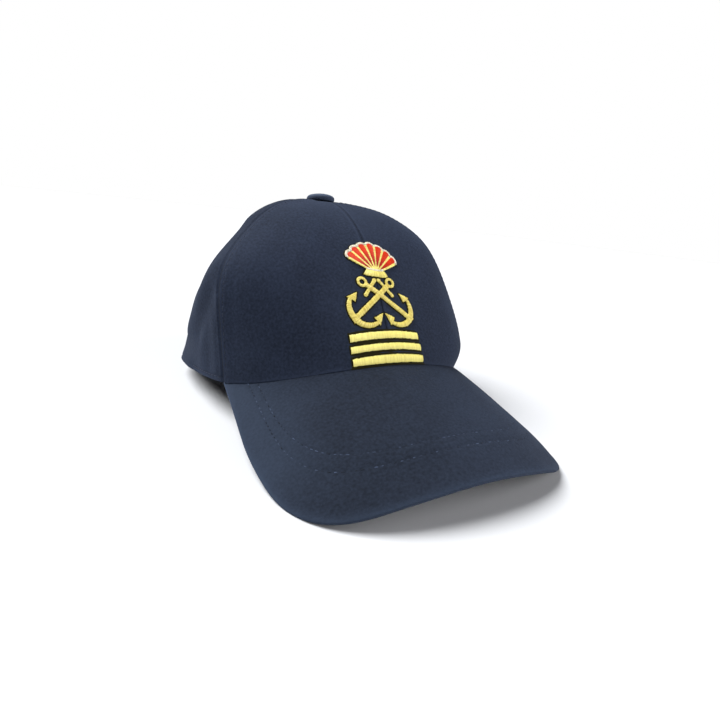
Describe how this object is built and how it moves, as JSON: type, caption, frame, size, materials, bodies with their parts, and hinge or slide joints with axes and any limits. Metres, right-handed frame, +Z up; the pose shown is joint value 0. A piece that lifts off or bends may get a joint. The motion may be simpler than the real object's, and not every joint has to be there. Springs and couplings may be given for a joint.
{
  "type": "captain hat",
  "caption": "Navy cloth captain's cap of sewn panels with a covered button, a curved peak, an arched back opening with a strap, and raised gold anchors and bars under a small shell.",
  "frame": {"origin": "on the floor, at the middle of the bounding box in X and Y", "axes": "+Z up, -Y the way the peak points, +X the wearer's left; the crown leans back a little, as the cap rests by itself"},
  "size_m": [0.17, 0.2668, 0.1214],
  "materials": {
    "cloth": "matt woven cotton twill, navy",
    "button": "matt woven cotton twill, navy, stretched over a button",
    "peak": "matt woven cotton twill, navy, over a stiff board",
    "strap": "matt woven cotton twill, navy, folded band",
    "gold_thread": "satin gold embroidery thread",
    "red_thread": "satin red embroidery thread",
    "pale_thread": "satin off-white embroidery thread",
    "seam_thread": "dull navy sewing thread"
  },
  "bodies": {
    "root": {"panel_front_left": "cloth", "panel_front_right": "cloth", "panel_side_left": "cloth", "panel_side_right": "cloth", "panel_back_left": "cloth", "panel_back_right": "cloth", "top_button": "button", "peak": "peak", "back_strap": "strap"}
  },
  "joints": []
}
